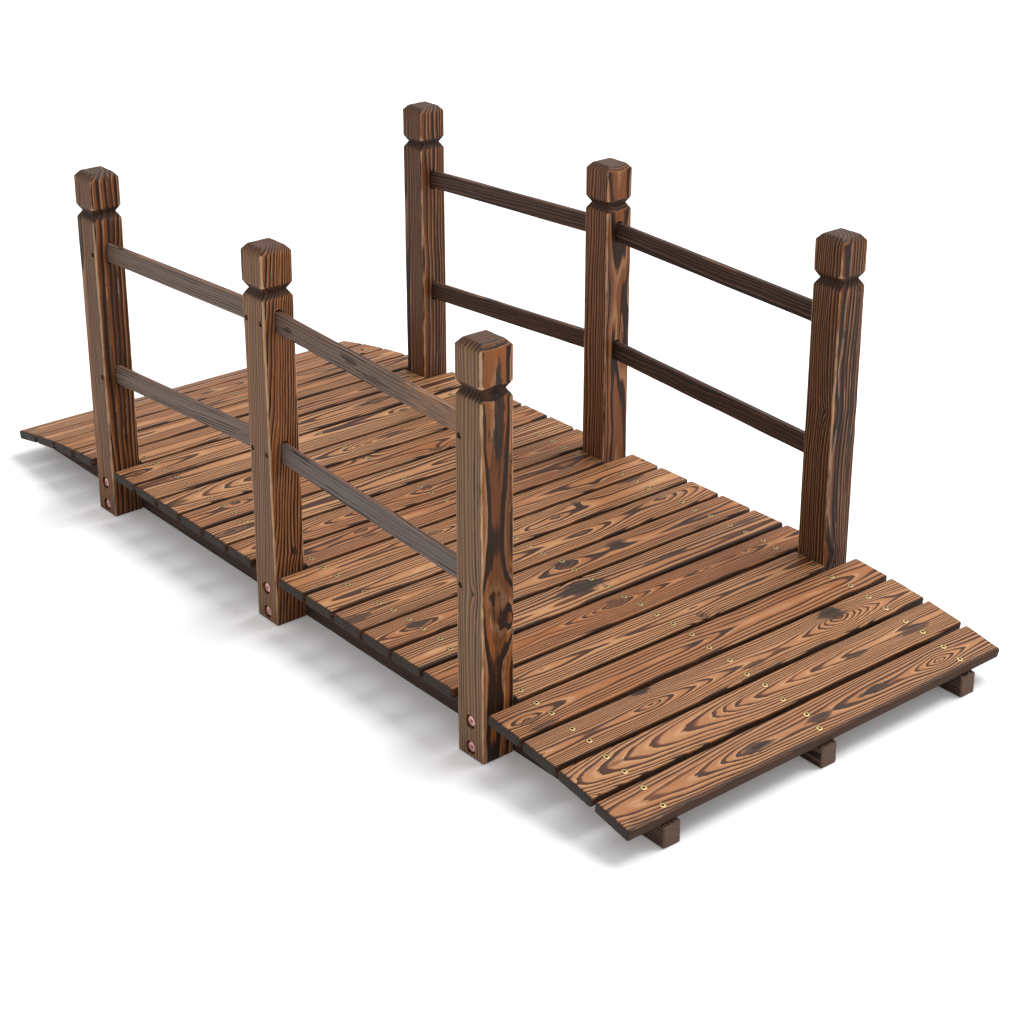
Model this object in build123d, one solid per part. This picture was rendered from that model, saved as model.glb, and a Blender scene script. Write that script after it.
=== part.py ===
"""Low wooden garden footbridge: three stringers, a slatted deck that dips at both ends, posts and railings.

Frame: millimetres, +Z up. The origin is on the ground below the middle of the deck, X runs along the walkway
and Y across it. Every board and post is a piece of its own, as the bridge is screwed together.
"""

import math
import os

from build123d import *

# Deck slats, laid across the walkway; full ones reach just past the posts' outer faces
SLATS_EACH_WAY = 11
SLAT_PITCH = 65.8
SLAT_WIDTH = 59.0
SLAT_THICKNESS = 15.0
SLAT_PAST_POST = 2.5
SLAT_TOP_ROUNDING = 3.0
SLAT_UNDER_CHAMFER = 1.5

# Walking line seen from the side: level in the middle, then an arc that falls to the last slat
DECK_HEIGHT = 82.5
LEVEL_SLATS_EACH_WAY = 6
END_DROP = 32.4

# Stringers under the slats: flat below, cut along the walking line above
WIDTH_BETWEEN_POSTS = 563.0
STRINGER_THICKNESS = 28.0
STRINGER_ROUNDING = 3.0
STRINGER_PAST_LAST_SLAT = 2.4

# Posts, bolted to the outer stringers' outer faces
POST_LENGTHWAYS = 50.0
POST_ACROSS = 50.0
POST_HEIGHT = 555.0
POST_ROUNDING = 2.5
SLATS_BETWEEN_POSTS = 7
POST_INSET = 2.0
CAP_CHAMFER_RUN = 7.5
CAP_CHAMFER_RISE = 9.0
NECK_BELOW_TOP = 62.5
NECK_DEPTH = 6.5
NECK_HALF_HEIGHT = 10.0

# Railings: a rail's middle line slopes up from an end post to the middle post
RAIL_HEIGHT = 30.0
RAIL_THICKNESS = 10.0
RAIL_ROUNDING = 2.5
UPPER_RAIL_BELOW_TOP = {"end": 124.0, "middle": 104.0}
LOWER_RAIL_ABOVE_DECK = {"end": 151.5, "middle": 178.5}
POCKET_DEPTH = 18.0
POCKET_PLAY_UP = 1.75
POCKET_PLAY_SIDE = 1.5

# Seats of the two bolts through each post's foot into the outer stringer
LOWER_BOLT_HEIGHT = 14.0
UPPER_BOLT_BELOW_SLATS = 16.5
BOLT_SEAT_RADIUS = 9.25
BOLT_SEAT_DEPTH = 5.0

STRINGER_OUTER_FACE = WIDTH_BETWEEN_POSTS / 2
STRINGER_Y = STRINGER_OUTER_FACE - STRINGER_THICKNESS / 2
SLAT_LENGTH = WIDTH_BETWEEN_POSTS + 2 * (POST_ACROSS + SLAT_PAST_POST)
LEVEL_HALF_LENGTH = LEVEL_SLATS_EACH_WAY * SLAT_PITCH
RAMP_LENGTH = (SLATS_EACH_WAY - LEVEL_SLATS_EACH_WAY) * SLAT_PITCH
RAMP_RADIUS = RAMP_LENGTH ** 2 / (2 * END_DROP)
SEAT_HEIGHT = DECK_HEIGHT - SLAT_THICKNESS
SEAT_RADIUS = RAMP_RADIUS - SLAT_THICKNESS
POST_X = SLATS_BETWEEN_POSTS * SLAT_PITCH - POST_INSET
POST_Y = STRINGER_OUTER_FACE + POST_ACROSS / 2
POCKET_HEIGHT = RAIL_HEIGHT + 2 * POCKET_PLAY_UP
POCKET_WIDTH = RAIL_THICKNESS + 2 * POCKET_PLAY_SIDE
FOOT_BOLT_HEIGHTS = (LOWER_BOLT_HEIGHT, SEAT_HEIGHT - UPPER_BOLT_BELOW_SLATS)
RAIL_LEVELS = ("lower", "upper")


def walking_line(along):
    """X, height and downward turn in radians of the deck's top, at a distance along it from the middle."""
    ramp = max(abs(along) - LEVEL_HALF_LENGTH, 0.0)
    turn = ramp / RAMP_RADIUS
    x = min(abs(along), LEVEL_HALF_LENGTH) + RAMP_RADIUS * math.sin(turn)
    height = DECK_HEIGHT - RAMP_RADIUS * (1 - math.cos(turn))
    side = math.copysign(1.0, along)
    return side * x, height, side * turn


def rail_height_at(level, x):
    """Height of a rail's middle line at x: straight from an end post's middle up to the middle post's."""
    if level == "upper":
        heights = {place: POST_HEIGHT - drop for place, drop in UPPER_RAIL_BELOW_TOP.items()}
    else:
        heights = {place: DECK_HEIGHT + rise for place, rise in LOWER_RAIL_ABOVE_DECK.items()}
    return heights["middle"] + (heights["end"] - heights["middle"]) * abs(x) / POST_X


def deck_slat(place):
    """One slat, counted from the middle of the deck; beside a post it stops at the post's inner face."""
    stops_at_post = place % SLATS_BETWEEN_POSTS == 0
    length = 2 * STRINGER_OUTER_FACE if stops_at_post else SLAT_LENGTH
    x, height, turn = walking_line(place * SLAT_PITCH)
    board = Box(SLAT_WIDTH, length, SLAT_THICKNESS, align=(Align.CENTER, Align.CENTER, Align.MAX))
    board = fillet(board.edges().filter_by(Axis.Y).sort_by(Axis.Z)[-2:], SLAT_TOP_ROUNDING)
    board = chamfer(board.edges().filter_by(Axis.Y).sort_by(Axis.Z)[:2], SLAT_UNDER_CHAMFER)
    return Pos(x, 0, height) * Rot(0, math.degrees(turn), 0) * board


def stringer_half_length():
    """The stringers end just past the outer edge of the last slat."""
    x, _, turn = walking_line(SLATS_EACH_WAY * SLAT_PITCH)
    return x + SLAT_WIDTH / 2 * math.cos(turn) + STRINGER_PAST_LAST_SLAT


def stringer(y):
    """Board on edge, its top cut level and then along an arc at each end."""
    half = stringer_half_length()
    end_turn = math.asin((half - LEVEL_HALF_LENGTH) / SEAT_RADIUS)
    end_height = SEAT_HEIGHT - SEAT_RADIUS * (1 - math.cos(end_turn))
    middle_turn = end_turn / 2
    arc_x = LEVEL_HALF_LENGTH + SEAT_RADIUS * math.sin(middle_turn)
    arc_height = SEAT_HEIGHT - SEAT_RADIUS * (1 - math.cos(middle_turn))
    top_arcs = [
        ThreePointArc((s * LEVEL_HALF_LENGTH, SEAT_HEIGHT), (s * arc_x, arc_height), (s * half, end_height))
        for s in (1, -1)
    ]
    outline = Wire([
        Line((-half, 0), (half, 0)),
        Line((half, 0), (half, end_height)),
        top_arcs[0],
        Line((LEVEL_HALF_LENGTH, SEAT_HEIGHT), (-LEVEL_HALF_LENGTH, SEAT_HEIGHT)),
        top_arcs[1],
        Line((-half, end_height), (-half, 0)),
    ])
    board = extrude(Plane.XZ * Face(outline), STRINGER_THICKNESS / 2, both=True)
    upright_ends = board.edges().filter_by(Axis.Z)
    board = fillet(upright_ends, STRINGER_ROUNDING)
    return Pos(0, y, 0) * board


def neck_cutters():
    """Four prisms that cut the V-groove below the cap, one across each side of the post."""
    middle = POST_HEIGHT - NECK_BELOW_TOP
    reach = max(POST_LENGTHWAYS, POST_ACROSS)
    cutters = []
    for turn in (0, 90, 180, 270):
        face = (POST_LENGTHWAYS if turn % 180 == 0 else POST_ACROSS) / 2
        notch = Polyline(
            (face - NECK_DEPTH, middle),
            (face, middle - NECK_HALF_HEIGHT),
            (face, middle + NECK_HALF_HEIGHT),
            close=True,
        )
        prism = extrude(Plane.XZ * make_face(notch), reach, both=True)
        cutters.append(Rot(0, 0, turn) * prism)
    return cutters


def post_blank():
    """Square post with a hipped cap above a V-groove, its upright edges eased."""
    post = Box(POST_LENGTHWAYS, POST_ACROSS, POST_HEIGHT, align=(Align.CENTER, Align.CENTER, Align.MIN))
    top = post.faces().sort_by(Axis.Z)[-1]
    post = chamfer(top.edges(), CAP_CHAMFER_RUN, CAP_CHAMFER_RISE, reference=top)
    for cutter in neck_cutters():
        post -= cutter
    return fillet(post.edges().filter_by(Axis.Z), POST_ROUNDING)


def rail_pocket(place, way, level):
    """Round-ended cutter for the pocket that takes a rail's end, in the post's face that looks this way."""
    half_way_in = way * (POST_LENGTHWAYS - POCKET_DEPTH) / 2
    height = rail_height_at(level, place * POST_X + half_way_in)
    outline = Plane.YZ * Rot(0, 0, 90) * SlotOverall(POCKET_HEIGHT, POCKET_WIDTH)
    return Pos(half_way_in, 0, height) * extrude(outline, POCKET_DEPTH / 2, both=True)


def bolt_seat(side, height):
    """Round cutter for the seat that takes a bolt's head, in the post's outer face."""
    outer_face = side * POST_ACROSS / 2
    return Pos(0, outer_face, height) * Rot(90, 0, 0) * Cylinder(BOLT_SEAT_RADIUS, 2 * BOLT_SEAT_DEPTH)


def post(place, side):
    """A post at -1, 0 or 1 along the walkway, on one side of it, with its rail pockets and bolt seats."""
    blank = post_blank()
    for way in (-1, 1):
        if way == place:
            continue
        for level in RAIL_LEVELS:
            blank -= rail_pocket(place, way, level)
    for height in FOOT_BOLT_HEIGHTS:
        blank -= bolt_seat(side, height)
    return Pos(place * POST_X, side * POST_Y, 0) * blank


def rail(bay, side, level):
    """Rail of one bay (-1 or 1 along the walkway), from pocket floor to pocket floor."""
    inner = POST_LENGTHWAYS / 2 - POCKET_DEPTH
    outer = POST_X - inner
    corners = [
        (bay * x, rail_height_at(level, x) + up * RAIL_HEIGHT / 2)
        for x, up in ((inner, -1), (outer, -1), (outer, 1), (inner, 1))
    ]
    bar = extrude(Plane.XZ * make_face(Polyline(*corners, close=True)), RAIL_THICKNESS / 2, both=True)
    long_edges = bar.edges().filter_by(lambda edge: edge.length > outer - inner - 1)
    bar = fillet(long_edges, RAIL_ROUNDING)
    return Pos(0, side * POST_Y, 0) * bar


def bridge():
    """Every piece of the bridge by name."""
    pieces = {}
    for place in range(-SLATS_EACH_WAY, SLATS_EACH_WAY + 1):
        pieces[f"deck_slat_{place + SLATS_EACH_WAY + 1:02d}"] = deck_slat(place)
    for name, y in (("left", -STRINGER_Y), ("middle", 0.0), ("right", STRINGER_Y)):
        pieces[f"stringer_{name}"] = stringer(y)
    for side, side_name in ((-1, "left"), (1, "right")):
        for place, place_name in ((-1, "rear"), (0, "middle"), (1, "front")):
            pieces[f"post_{side_name}_{place_name}"] = post(place, side)
        for bay, bay_name in ((-1, "rear"), (1, "front")):
            for level in RAIL_LEVELS:
                pieces[f"rail_{side_name}_{bay_name}_{level}"] = rail(bay, side, level)
    return pieces


os.makedirs("parts", exist_ok=True)
for node, piece in bridge().items():
    export_step(piece, f"parts/{node}.step")
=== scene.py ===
# %% [markdown]
# # A small wooden garden footbridge
# The real bridge is screwed together from softwood boards that were scorched with a flame and then brushed,
# which leaves every growth ring as a dark line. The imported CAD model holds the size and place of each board.
# This lesson gives the boards their grain, edges and screws, and never moves or resizes one.

# %% Load the frame
import math

import bpy
import numpy as np
from mathutils import Matrix, Vector


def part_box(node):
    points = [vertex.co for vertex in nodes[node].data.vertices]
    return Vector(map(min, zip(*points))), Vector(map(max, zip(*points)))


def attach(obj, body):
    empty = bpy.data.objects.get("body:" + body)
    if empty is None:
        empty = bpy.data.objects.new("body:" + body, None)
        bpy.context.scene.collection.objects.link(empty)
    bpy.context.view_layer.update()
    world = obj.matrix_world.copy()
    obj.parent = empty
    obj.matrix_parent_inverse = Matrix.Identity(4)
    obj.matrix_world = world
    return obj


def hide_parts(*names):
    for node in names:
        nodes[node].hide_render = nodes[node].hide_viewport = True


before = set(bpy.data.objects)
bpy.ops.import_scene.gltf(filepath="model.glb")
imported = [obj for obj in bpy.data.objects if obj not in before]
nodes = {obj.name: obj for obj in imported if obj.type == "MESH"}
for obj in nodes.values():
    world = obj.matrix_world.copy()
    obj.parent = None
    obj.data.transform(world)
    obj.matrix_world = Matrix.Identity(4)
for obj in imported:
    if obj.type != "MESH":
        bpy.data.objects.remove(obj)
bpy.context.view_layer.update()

MM = 0.001


# %% [markdown]
# ## Camera
# The photograph's own camera was worked out from the ends of the slats and the corners of the posts. Its picture
# was cropped off centre, so the lens is shifted. The turn is written as three directions: right, up and back.

# %% Camera at the photograph's angle
CAMERA_AT = Vector((2.1635, -1.6818, 1.3770))
CAMERA_AZIMUTH = math.radians(51.9)
CAMERA_ELEVATION = math.radians(21.24)
CAMERA_ROLL = math.radians(-0.59)
LENS_MM = 71.17
PICTURE_SHIFT = (0.0529, -0.1482)
FARTHEST_SEEN = 60


def camera_turn(azimuth, elevation, roll):
    """Rotation of a camera that looks level along +Y at azimuth 0, and down from the elevation given."""
    flat = math.cos(elevation)
    back = Vector((math.sin(azimuth) * flat, -math.cos(azimuth) * flat, math.sin(elevation)))
    level = Vector((math.cos(azimuth), math.sin(azimuth), 0))
    up = back.cross(level)
    right = math.cos(roll) * level + math.sin(roll) * up
    upright = math.cos(roll) * up - math.sin(roll) * level
    return Matrix((right, upright, back)).transposed()


camera = bpy.data.objects.new("camera", bpy.data.cameras.new("camera"))
camera.matrix_world = Matrix.Translation(CAMERA_AT) @ camera_turn(
    CAMERA_AZIMUTH, CAMERA_ELEVATION, CAMERA_ROLL).to_4x4()
camera.data.lens = LENS_MM
camera.data.shift_x, camera.data.shift_y = PICTURE_SHIFT
camera.data.clip_end = FARTHEST_SEEN
bpy.context.scene.collection.objects.link(camera)
bpy.context.scene.camera = camera
bpy.context.scene.view_settings.view_transform = "Standard"
print("camera", [round(v, 3) for v in CAMERA_AT])


# %% [markdown]
# ## Small helpers for node trees
# Shader trees and geometry trees share their maths and noise nodes. One set of helpers for both lets the same
# recipe colour a board and carve its relief, so that the dark lines and the ridges lie in the same places.

# %% Colours, links and sums
def colour(code):
    """Linear colour of a hexadecimal screen colour."""
    values = [int(code[i:i + 2], 16) / 255 for i in (0, 2, 4)]
    return (*[v / 12.92 if v <= 0.04045 else ((v + 0.055) / 1.055) ** 2.4 for v in values], 1.0)


def plug(tree, source, socket):
    """Connects an output to a socket, or writes a plain value on it."""
    if isinstance(source, bpy.types.NodeSocket):
        tree.links.new(source, socket)
    else:
        socket.default_value = source


def plug_by_name(tree, sockets, sources):
    """Connects or writes several sockets of one node, given by name."""
    for name, source in sources.items():
        plug(tree, source, sockets[name])


def maths(tree, operation, *inputs, clamp=False):
    """Result of one arithmetic step."""
    node = tree.nodes.new("ShaderNodeMath")
    node.operation, node.use_clamp = operation, clamp
    for socket, source in zip(node.inputs, inputs):
        plug(tree, source, socket)
    return node.outputs[0]


def total(tree, *terms):
    """Sum of several values."""
    result = terms[0]
    for term in terms[1:]:
        result = maths(tree, "ADD", result, term)
    return result


def times(tree, first, second):
    """Product of two values."""
    return maths(tree, "MULTIPLY", first, second)


print("middle grey in linear light", round(colour("808080")[0], 3))

# %% Noise
def parts(tree, where):
    """The three numbers of a place."""
    node = tree.nodes.new("ShaderNodeSeparateXYZ")
    plug(tree, where, node.inputs[0])
    return node.outputs


def noise(tree, where, detail=2.0, roughness=0.5):
    """Smooth noise, 0 to 1, that changes about once a unit."""
    node = tree.nodes.new("ShaderNodeTexNoise")
    plug_by_name(tree, node.inputs, {"Vector": where, "Scale": 1.0, "Detail": detail, "Roughness": roughness})
    return node.outputs[0]


def cloud(tree, where, scales, **settings):
    """Noise that changes as often in a metre as the scales say, one for each direction."""
    node = tree.nodes.new("ShaderNodeVectorMath")
    node.operation = "MULTIPLY"
    plug(tree, where, node.inputs[0])
    plug(tree, scales, node.inputs[1])
    return noise(tree, node.outputs[0], **settings)


def line_noise(tree, value, pace):
    """Smooth noise along one number, that changes pace times in a unit."""
    node = tree.nodes.new("ShaderNodeCombineXYZ")
    plug(tree, times(tree, value, pace), node.inputs[0])
    return noise(tree, node.outputs[0], detail=0.0)


print("kinds of noise", [kind.__name__ for kind in (noise, cloud, line_noise)])

# %% Swings, steps, blends and sockets
def swing(tree, value, reach):
    """Noise turned into a push both ways, by up to the reach."""
    return times(tree, maths(tree, "SUBTRACT", value, 0.5), 2.0 * reach)


def step(tree, value, low, high, at_low=0.0, at_high=1.0):
    """Smooth change from one value to another as the input goes from low to high."""
    node = tree.nodes.new("ShaderNodeMapRange")
    node.interpolation_type = "SMOOTHSTEP"
    plug_by_name(tree, node.inputs, {
        "Value": value, "From Min": low, "From Max": high, "To Min": at_low, "To Max": at_high})
    return node.outputs[0]


def blend(tree, factor, first, second):
    """Colour between two, by a factor."""
    node = tree.nodes.new("ShaderNodeMix")
    node.data_type = "RGBA"
    plug(tree, factor, node.inputs["Factor"])
    plug(tree, first, node.inputs[6])
    plug(tree, second, node.inputs[7])
    return node.outputs[2]


def add_sockets(tree, in_out, sockets):
    """Named sockets of a group, given as name and type, with a default where there is one."""
    for name, kind, *default in sockets:
        made = tree.interface.new_socket(name, in_out=in_out, socket_type=kind)
        if default:
            made.default_value = default[0]


print("ways to mix", [way.__name__ for way in (swing, step, blend)])


# %% [markdown]
# ## Growth rings
# A tree grows in cones round its pith, and a board is a slice out of them. So the grain is not drawn on the
# board: every point knows where it lay in the log, and its distance from the pith says which ring it is in.
# A slice that just grazes the rings shows arches, one through their middle shows close lines, and the end
# shows arcs, all from one rule. A knot pushes the rings aside, which turns them into eyes.

# %% Where a ring lies and how dark it is
# A wave is given as how often it comes in a metre along and across the trunk, and how far it pushes a ring;
# uneven years as how often they come in a year, and by how many years they shift a ring
TRUNK_WAVES = (((2.4, 12, 14), 0.0055), ((8, 20, 24), 0.0028), ((15, 50, 60), 0.0010), ((11, 210, 260), 0.00055))
UNEVEN_YEARS = ((0.13, 1.8), (0.47, 0.4))
DECADE_PACE = 0.31
WEAKEST_RING = 0.6
DARKER_AT_KNOT = 0.8
POINTED = 1.35


def apart(tree, spot):
    """Distance from a knot or blot, counted in its own radii; equal distances form a lens with pointed ends."""
    split = parts(tree, spot)
    shares = [maths(tree, "POWER", maths(tree, "ABSOLUTE", split[k]), POINTED) for k in (0, 1)]
    return maths(tree, "POWER", total(tree, *shares), 1 / POINTED)


def ring_strength(tree, years, near_knot):
    """How dark a ring is: by its own luck and its decade's, and darker near a knot."""
    luck = tree.nodes.new("ShaderNodeTexWhiteNoise")
    luck.noise_dimensions = "1D"
    plug(tree, maths(tree, "FLOOR", years), luck.inputs["W"])
    own = maths(tree, "MULTIPLY_ADD", luck.outputs["Value"], 1 - WEAKEST_RING, WEAKEST_RING)
    decade = step(tree, line_noise(tree, years, DECADE_PACE), 0.33, 0.57, 0.45, 1.25)
    return total(tree, times(tree, own, decade), times(tree, near_knot, DARKER_AT_KNOT))


print("waves in the trunk", len(TRUNK_WAVES), "and in the years", len(UNEVEN_YEARS))

# %% Rings from the place in the log
# The dark late wood begins, rises and ends at these parts of a year's growth
LATE_WOOD_BEGINS = 0.33
LATE_WOOD_RISE = 0.38
LATE_WOOD_ENDS = 0.95
THINNER_TIPS = 0.22


def growth_rings(tree, log, knots, ring_width, steep):
    """How far a point lies in the dark late wood of its ring, and in the band just outside it that gets a painted
    glint.
    """
    _, aside, deep = parts(tree, log)
    distance = maths(tree, "SQRT", total(tree, times(tree, aside, aside), times(tree, deep, deep)))
    near_knot = 0.0
    for knot in knots:
        fade = maths(tree, "EXPONENT", times(tree, apart(tree, knot), -1.0))
        distance = maths(tree, "SUBTRACT", distance, times(tree, fade, parts(tree, knot)[2]))
        near_knot = maths(tree, "MAXIMUM", near_knot, fade)
    for scales, reach in TRUNK_WAVES:
        distance = total(tree, distance, swing(tree, cloud(tree, log, scales, detail=1.0), reach))
    years = maths(tree, "DIVIDE", distance, ring_width)
    for pace, reach in UNEVEN_YEARS:
        years = total(tree, years, swing(tree, line_noise(tree, years, pace), reach))
    part = maths(tree, "FRACT", years)
    begins = maths(tree, "MULTIPLY_ADD", steep, -THINNER_TIPS, LATE_WOOD_BEGINS + THINNER_TIPS)
    inner_side = step(tree, maths(tree, "SUBTRACT", part, begins), 0.0, LATE_WOOD_RISE)
    late = times(tree, inner_side, step(tree, part, LATE_WOOD_ENDS, 1.0, 1.0, 0.0))
    # Band just outside each dark line, painted pale as a highlight where light glints on the brushed ridge
    painted_ridge_glint = times(tree, step(tree, part, 0.0, 0.05), step(tree, part, 0.08, 0.30, 1.0, 0.0))
    return times(tree, late, ring_strength(tree, years, near_knot)), painted_ridge_glint


print("late wood takes", round(LATE_WOOD_ENDS - LATE_WOOD_BEGINS, 2), "of a ring")


# %% [markdown]
# ## Scorched and brushed wood
# The flame chars the surface and the brush takes the char off again where the wood is soft. What is left is a
# warm brown with dark late wood, near-black patches where the flame stayed, and dark sides and ends that the
# brush never reached. It is one shader group, so the slats, posts and rails share it with their own values.

# %% What the shader group is told
# Values that a mesh stores at each point, with what they are on a board that leaves them out, and colours that
# belong to a material
KNOTS = ("knot_1", "knot_2", "knot_3")
BLOTS = ("blot_1", "blot_2", "blot_3")
WOOD_PLACES = ("log", *KNOTS, *BLOTS)
# The arris value paints edges paler, partly for wear and partly as a painted highlight; its pale colour also paints
# the ridge glints
WOOD_VALUES = dict(
    ring_width=0.003, steep=0.5, tone=0.5, scorch=0.3, brushed=1.0, end_grain=0.0, worn=0.0, bloom=0.0)
WOOD_COLOURS = ("light_wood", "deep_wood", "brown", "late_wood", "char", "side", "end", "rubbed", "grey")


def socket_name(attribute):
    """An attribute's name as a socket shows it."""
    return attribute.replace("_", " ").capitalize()


WOOD_INPUTS = [(socket_name(name), "NodeSocketVector") for name in WOOD_PLACES]
WOOD_INPUTS += [(socket_name(name), "NodeSocketFloat", usual) for name, usual in WOOD_VALUES.items()]
WOOD_INPUTS += [(socket_name(name), "NodeSocketColor") for name in WOOD_COLOURS]
print("sockets", len(WOOD_INPUTS))

# %% Brushed wood under the marks
# In each step the first two numbers are where a cover starts and where it is full; the rest are its two values
FIBRES = dict(scales=(16, 620, 620), detail=3.0, roughness=0.6)
STAIN = dict(scales=(5, 30, 30), detail=3.0)
PATCHES = dict(scales=(8, 40, 40), detail=4.0, roughness=0.6)
RAGS = dict(scales=(40, 190, 190), detail=3.0, roughness=0.6)


def grown_wood(tree, given, rings, painted_ridge_glint, streak, stain, patch):
    """Soft wood by its tone, with a painted glint just outside each line, then brown, then dark late wood, then a
    painted grey sheen.
    """
    depth = total(tree, times(tree, stain, 0.8), times(tree, streak, 0.7), given["Tone"], -0.75)
    wood = blend(tree, maths(tree, "MAXIMUM", depth, 0.0, clamp=True), given["Light wood"], given["Deep wood"])
    # Painted highlight: the pale tone just outside each dark line stands in for light glinting on the ridge
    wood = blend(tree, times(tree, painted_ridge_glint, step(tree, streak, 0.3, 0.7, 0.1, 0.5)), wood, given["Rubbed"])
    line = times(tree, rings, step(tree, stain, 0.30, 0.66, 1.35, 0.85))
    line = times(tree, line, step(tree, streak, 0.2, 0.65, 0.8, 1.15))
    wood = blend(tree, step(tree, line, 0.02, 0.36), wood, given["Brown"])
    wood = blend(tree, step(tree, line, 0.28, 0.64), wood, given["Late wood"])
    # Painted sheen: grey where a board asks for it, standing in for the reflection of the white floor and soft box
    # on its outer side
    grey = step(tree, total(tree, patch, times(tree, streak, 0.6)), 0.5, 1.1, 0.6, 1.0)
    grey = times(tree, times(tree, given["Bloom"], grey), step(tree, line, 0.1, 0.9, 1.0, 0.84))
    return blend(tree, grey, wood, given["Grey"])


print("a streak is about", round(1000 / FIBRES["scales"][0]), "mm long")

# %% Marks of the flame
BLOT_RIM = 0.88


def blot_cover(tree, blots, ragged):
    """Cover of the listed scorch marks, 0 to 1; their rim is dark and their outline ragged."""
    cover = 0.0
    for blot in blots:
        inside = step(tree, total(tree, apart(tree, blot), ragged), 0.78, 1.06, 1.0, 0.0)
        rim = times(tree, times(tree, inside, maths(tree, "SUBTRACT", 1.0, inside)), BLOT_RIM * 4)
        middle = times(tree, inside, parts(tree, blot)[2])
        cover = maths(tree, "MAXIMUM", cover, maths(tree, "MAXIMUM", middle, rim))
    return cover


def flame_marks(tree, given, rings, streak, patch, ragged):
    """Cover of the marks where the flame stayed, by chance and where listed, 0 to 1."""
    heat = times(tree, given["Scorch"], 0.3)
    flame = total(tree, patch, times(tree, rings, 0.30), heat, swing(tree, ragged, 0.05))
    on_soft_wood = step(tree, given["Scorch"], 0.8, 1.9, 0.25, 0.9)
    flame = times(tree, step(tree, flame, 0.84, 0.94), step(tree, rings, 0.05, 0.3, on_soft_wood, 0.95))
    frayed = total(tree, swing(tree, ragged, 0.7), swing(tree, streak, 0.5))
    placed = blot_cover(tree, [given[socket_name(blot)] for blot in BLOTS], frayed)
    placed = times(tree, placed, step(tree, total(tree, streak, times(tree, rings, 0.6)), 0.25, 0.75, 0.72, 1.0))
    return maths(tree, "MAXIMUM", placed, times(tree, flame, 0.85))


print("marks that a board can place by hand", len(BLOTS))

# %% The shader group for scorched wood
ROUGHNESS = 0.46


def make_scorched_wood():
    """Group that colours a board from its place in the log: wood, marks, sawn sides, cut ends, and arrises painted
    paler for wear and as a painted highlight.
    """
    tree = bpy.data.node_groups.new("scorched_wood", "ShaderNodeTree")
    add_sockets(tree, "INPUT", WOOD_INPUTS)
    add_sockets(tree, "OUTPUT", [
        ("Colour", "NodeSocketColor"), ("Roughness", "NodeSocketFloat"), ("Height", "NodeSocketFloat")])
    given = tree.nodes.new("NodeGroupInput").outputs
    log = given["Log"]
    knots = [given[socket_name(knot)] for knot in KNOTS]
    rings, painted_ridge_glint = growth_rings(tree, log, knots, given["Ring width"], given["Steep"])
    streak, stain, patch, ragged = [cloud(tree, log, **kind) for kind in (FIBRES, STAIN, PATCHES, RAGS)]

    wood = grown_wood(tree, given, rings, painted_ridge_glint, streak, stain, patch)
    marks = flame_marks(tree, given, rings, streak, patch, ragged)
    wood = blend(tree, marks, wood, given["Late wood"])
    char = step(tree, marks, 0.55, 1.0, 0.0, 0.95)
    wood = blend(tree, char, wood, given["Char"])

    unbrushed = maths(tree, "SUBTRACT", 1.0, total(tree, given["Brushed"], swing(tree, ragged, 0.25)), clamp=True)
    unbrushed = times(tree, unbrushed, step(tree, given["Brushed"], 0.75, 0.98, 1.0, 0.0))
    wood = blend(tree, times(tree, unbrushed, step(tree, streak, 0.15, 0.75, 1.0, 0.75)), wood, given["Side"])
    arcs = step(tree, total(tree, rings, swing(tree, patch, 0.5)), 0.0, 0.7, 0.66, 1.0)
    wood = blend(tree, times(tree, given["End grain"], arcs), wood, given["End"])
    # Arrises painted paler: partly wear, partly a painted highlight where light catches their rounding
    rubbed = total(tree, given["Worn"], swing(tree, ragged, 0.35), swing(tree, stain, 0.35))
    wood = blend(tree, times(tree, step(tree, rubbed, 0.60, 0.95), 0.80), wood, given["Rubbed"])

    rough = total(tree, ROUGHNESS, times(tree, streak, 0.2), times(tree, char, 0.06), times(tree, unbrushed, 0.1))
    height = total(tree, times(tree, rings, 0.65), times(tree, streak, 0.55))
    plug_by_name(tree, tree.nodes.new("NodeGroupOutput").inputs, {
        "Colour": wood, "Roughness": rough, "Height": height})
    return tree


SCORCHED_WOOD = make_scorched_wood()
print("group", SCORCHED_WOOD.name, "with", len(SCORCHED_WOOD.nodes), "nodes")


# %% [markdown]
# ## One wood material for each kind of board
# The values that differ from board to board (its place in the log, its tone, how scorched it is) are stored on
# the mesh by name, so all slats share one material and still no two look alike.

# %% A material that reads the board's own values
WOOD_SHEEN = 0.18


def stored(tree, name, output):
    """An attribute stored on the mesh."""
    node = tree.nodes.new("ShaderNodeAttribute")
    node.attribute_name = name
    return node.outputs[output]


def new_material(name):
    """A material, its node tree and the sockets of its surface."""
    made = bpy.data.materials.new(name)
    made.use_nodes = True
    return made, made.node_tree, made.node_tree.nodes["Principled BSDF"].inputs


def bumped(tree, height, distance):
    """Normals of a surface whose height, 0 to 1, spans that distance in metres."""
    node = tree.nodes.new("ShaderNodeBump")
    plug_by_name(tree, node.inputs, {"Distance": distance, "Height": height})
    return node.outputs["Normal"]


def wood_material(name, relief, **colours):
    """Material whose grain comes from the mesh's own attributes; relief is the brushing's depth in metres."""
    made, tree, surface = new_material(name)
    wood = tree.nodes.new("ShaderNodeGroup")
    wood.node_tree = SCORCHED_WOOD
    for names, output in ((WOOD_PLACES, "Vector"), (WOOD_VALUES, "Fac")):
        for attribute in names:
            plug(tree, stored(tree, attribute, output), wood.inputs[socket_name(attribute)])
    for part, code in colours.items():
        plug(tree, colour(code), wood.inputs[socket_name(part)])
    plug_by_name(tree, surface, {
        "Base Color": wood.outputs["Colour"], "Roughness": wood.outputs["Roughness"],
        "Normal": bumped(tree, wood.outputs["Height"], relief), "Specular IOR Level": WOOD_SHEEN})
    return made


print("sheen of the wood", WOOD_SHEEN)

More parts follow.
